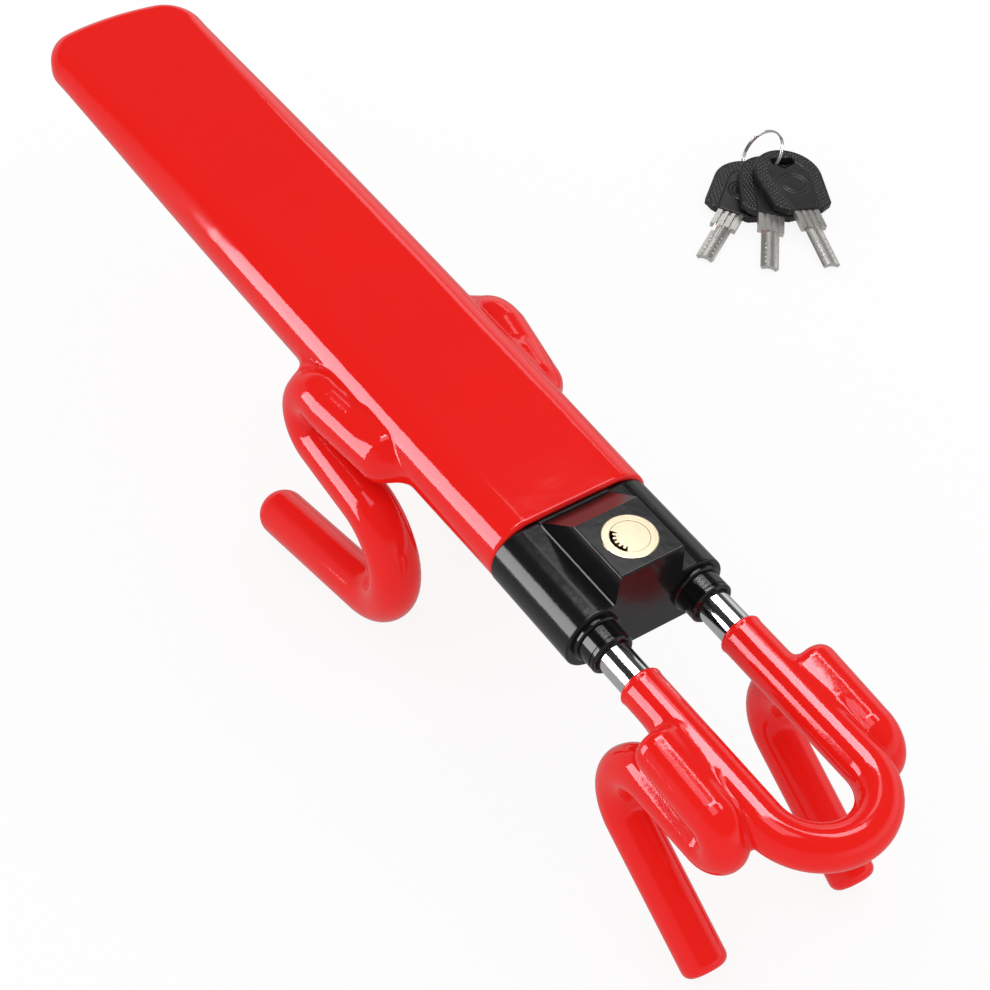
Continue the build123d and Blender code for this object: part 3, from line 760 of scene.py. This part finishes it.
class LOCK_OT_bar_vinyl(bpy.types.Operator):
    """Dip the U-shaped bar and its two hooks in vinyl"""
    bl_idname = "lock.bar_vinyl"
    bl_label = "Bar vinyl"

    def execute(self, context):
        step = 0.85 * context.scene.lock_sizes.skin_step
        points, faces, normals = wrapped(
            dipped_bar,
            grid_line(COAT_START - 3, 126, step, (COAT_START - 2, COAT_START + 4)),
            grid_line(-42, 42, step), grid_line(-82, 11, step))
        new_piece("vinyl_bar", laid(points), faces, "red_vinyl", "bar",
                  ("u_bar_coating", "bar_hook_coating_left", "bar_hook_coating_right"), leaned(normals))
        return {"FINISHED"}


class LOCK_OT_hook_steel(bpy.types.Operator):
    """Bend the steel rods inside the four hooks and weld them on"""
    bl_idname = "lock.hook_steel"
    bl_label = "Hook steel"

    def execute(self, context):
        for name, field, step, spans, slot, body, nodes in (
                ("body_hook_rods", body_rods, 1.6, ((-166, -50), (-46, 46), (-98, 10)),
                 "bare_steel", "body", ("body_hook_left", "body_hook_right")),
                ("bar_hook_rods", bar_rods, 1.3, ((20, 106), (-39, 39), (-79, 10)),
                 "bare_steel", "bar", ("bar_hook_left", "bar_hook_right")),
                ("body_weld_beads", body_beads, 0.7, ((-109, -88), (-37, 37), (-4, 7)),
                 "weld_steel", "body", ("body_welds",)),
                ("bar_weld_beads", bar_beads, 0.6, ((57, 80), (-30, 30), (-1, 7)),
                 "weld_steel", "bar", ("bar_welds",))):
            points, faces, normals = wrapped(field, *(grid_line(*span, step) for span in spans))
            new_piece(name, laid(points), faces, slot, body, nodes, leaned(normals))
        return {"FINISHED"}


class LOCK_OT_keys(bpy.types.Operator):
    """Mould the keys' bows and coil their split ring"""
    bl_idname = "lock.keys"
    bl_label = "Keys"

    def execute(self, context):
        step = 0.33
        levels = np.array((0.25, 0.7, 1.15, 1.5, 2.1, 2.6))
        points, faces, normals = wrapped(key_bow, grid_line(-17, 17, step), grid_line(-32.5, 9.5, step),
                                         np.concatenate((-levels[::-1], levels)))
        for number, rest in KEY_REST.items():
            placed, turn = settled(points, rest)
            new_piece("key_grip_" + number, placed, faces, "bow_plastic", "keys", ("key_bow_" + number,),
                      normals @ turn.T)
        points, faces = split_ring()
        placed, _ = settled(points, RING_REST)
        new_piece("split_ring", placed, faces, "ring_steel", "keys", ("key_ring",))
        return {"FINISHED"}


class LOCK_OT_finishes(bpy.types.Operator):
    """Make the finishes, and put them on the frame's own solids"""
    bl_idname = "lock.finishes"
    bl_label = "Finishes"

    def execute(self, context):
        colours = context.scene.lock_colours
        FINISHES.update({
            "red_vinyl": vinyl(colours.vinyl),
            "housing_black": cast_black(),
            "bush_black": moulded_black("moulded bush", 0.10, 0.004, 0.3),
            "bow_plastic": moulded_black("key bow plastic", 0.32, 0.009, 0.5),
            "cylinder_brass": turned_brass(colours.brass),
            "bar_chrome": metal("drawn and plated bar", colours.chrome, 0.05, scale=(1, 60, 60), grain=60,
                                relief=0.00001),
            "pin_brass": metal("pin brass", tint(colours.brass, 0.9), 0.25),
            "bare_steel": metal("bare steel", (0.42, 0.42, 0.43), 0.32, spread=0.15),
            "weld_steel": metal("weld bead", (0.20, 0.19, 0.18), 0.45, spread=0.2, grain=300,
                                relief=0.0002),
            "hardened_steel": metal("hardened steel", (0.32, 0.32, 0.34), 0.25),
            "ring_steel": metal("ring wire", (0.74, 0.74, 0.73), 0.12),
            "blade_nickel": metal("nickel silver", colours.nickel, 0.24, spread=0.12, grain=400,
                                  relief=0.00003),
        })
        for part in frame["record"]["subparts"]:
            mesh = frame["nodes"][part["node"]].data
            mesh.materials.clear()
            mesh.materials.append(FINISHES[part["material_slot"]])
        return {"FINISHED"}


class LOCK_OT_stage(bpy.types.Operator):
    """Lay the floor, hang the lights and set up the camera"""
    bl_idname = "lock.stage"
    bl_label = "Stage"

    def execute(self, context):
        scene = context.scene
        camera = bpy.data.objects.new("Camera", bpy.data.cameras.new("Camera"))
        camera.data.lens = scene.lock_sizes.camera_lens
        camera.location = CAMERA_PLACE
        camera.rotation_euler = [math.radians(angle) for angle in CAMERA_TURN]
        camera.data.clip_end = 20
        scene.collection.objects.link(camera)
        scene.camera = camera
        self.floor(scene)
        self.world(scene)
        for name, spans, share in SOFTBOXES:
            self.softbox(scene, name, spans, share * scene.lock_sizes.key_light)
        scene.view_settings.view_transform = "Standard"
        return {"FINISHED"}

    @staticmethod
    def floor(scene):
        """A flat sheet out to where it fades into the background.

        It glows to the camera and through glass, and less in reflections, and keeps the lock's shadow.
        """
        mesh = bpy.data.meshes.new("floor")
        signs = ((-1, -1), (1, -1), (1, 1), (-1, 1))
        corners = [(FLOOR_REACH * x, FLOOR_REACH * y, FLOOR) for x, y in signs]
        mesh.from_pydata(corners, [], [(0, 1, 2, 3)])
        floor = bpy.data.objects.new("floor", mesh)
        scene.collection.objects.link(floor)
        f = Finish("pale floor", Roughness=0.9, Specular_IOR_Level=0.1)
        f.colour((0.95, 0.95, 0.95, 1.0))
        f.put(f.shader.inputs["Emission Strength"], 0.0)
        ray = f.node("ShaderNodeLightPath")
        seen = ray.larger(ray.sibling("Is Transmission Ray"))
        mixed = Value(f, f.shader.outputs[0])
        for share, strength in ((seen * 0.88, 1.0), (ray.sibling("Is Glossy Ray"), 0.42)):
            glow = f.node("ShaderNodeEmission", None, {"Color": (1, 1, 1, 1), "Strength": strength})
            mixed = f.node("ShaderNodeMixShader", None, {0: share, 1: mixed, 2: glow})
        f.put(f.found("OUTPUT_MATERIAL").inputs["Surface"], mixed)
        mesh.materials.append(f.material)

    @staticmethod
    def world(scene):
        """White to the camera; reflections see white walls that fall off above to a dim ceiling."""
        world = bpy.data.worlds.new("studio")
        world.use_nodes = True
        shading = Shading(world.node_tree)
        background = shading.found("BACKGROUND")
        ray = shading.node("ShaderNodeLightPath")
        spot = shading.node("ShaderNodeTexCoord")
        apart = shading.node("ShaderNodeSeparateXYZ", None, {0: spot})
        upward = apart.sibling("Z").ramped(0.30, 0.55, 0.8, 0.08)
        sideways = apart.sibling("Y").ramped(-0.5, 0.5, 0.45, 1.0)
        seen = shading.mix(ray.sibling("Is Glossy Ray"), 1.0, upward * sideways)
        seen = shading.mix(ray, seen, 1.0)
        seen = shading.mix(ray.sibling("Is Transmission Ray"), seen, 1.0)
        shading.put(background.inputs["Strength"], seen)
        shading.put(background.inputs["Color"], (1, 1, 1, 1))
        scene.world = world

    @staticmethod
    def softbox(scene, name, spans, radiance):
        """A lamp between two x, two y and two z; its power is radiance x area x pi.

        It hangs upright facing y = 0, or lies level facing down.  It shows only as a reflection, and the
        even light of the room does the rest.
        """
        (x0, x1), (y0, y1), (z0, z1) = spans
        lamp = bpy.data.lights.new(name, "AREA")
        lamp.shape = "RECTANGLE"
        lamp.size, lamp.size_y = x1 - x0, (y1 - y0) + (z1 - z0)
        lamp.energy = radiance * lamp.size * lamp.size_y * math.pi
        light = bpy.data.objects.new(name, lamp)
        light.location = ((x0 + x1) / 2, (y0 + y1) / 2, (z0 + z1) / 2)
        if y0 == y1:
            light.rotation_euler = (math.copysign(math.pi / 2, -y0), 0, 0)
        light.visible_diffuse = False
        scene.collection.objects.link(light)


class LOCK_PT_panel(bpy.types.Panel):
    bl_label = "Wheel lock"
    bl_idname = "LOCK_PT_panel"
    bl_space_type = "VIEW_3D"
    bl_region_type = "UI"
    bl_category = "Wheel lock"

    def draw(self, context):
        for group in (context.scene.lock_sizes, context.scene.lock_colours):
            for name in group.__annotations__:
                self.layout.prop(group, name)
        for operator in OPERATORS:
            self.layout.operator(operator.bl_idname)


OPERATORS = (LOCK_OT_stage, LOCK_OT_finishes, LOCK_OT_hook_steel, LOCK_OT_body_vinyl, LOCK_OT_bar_vinyl,
             LOCK_OT_keys)
CLASSES = (LockColours, LockSizes, *OPERATORS, LOCK_PT_panel)


def register():
    for cls in CLASSES:
        bpy.utils.register_class(cls)
    bpy.types.Scene.lock_colours = PointerProperty(type=LockColours)
    bpy.types.Scene.lock_sizes = PointerProperty(type=LockSizes)


def unregister():
    del bpy.types.Scene.lock_sizes
    del bpy.types.Scene.lock_colours
    for cls in reversed(CLASSES):
        bpy.utils.unregister_class(cls)


def main():
    register()
    for operator in OPERATORS:
        group, name = operator.bl_idname.split(".")
        getattr(getattr(bpy.ops, group), name)()


if __name__ == "__main__":
    main()
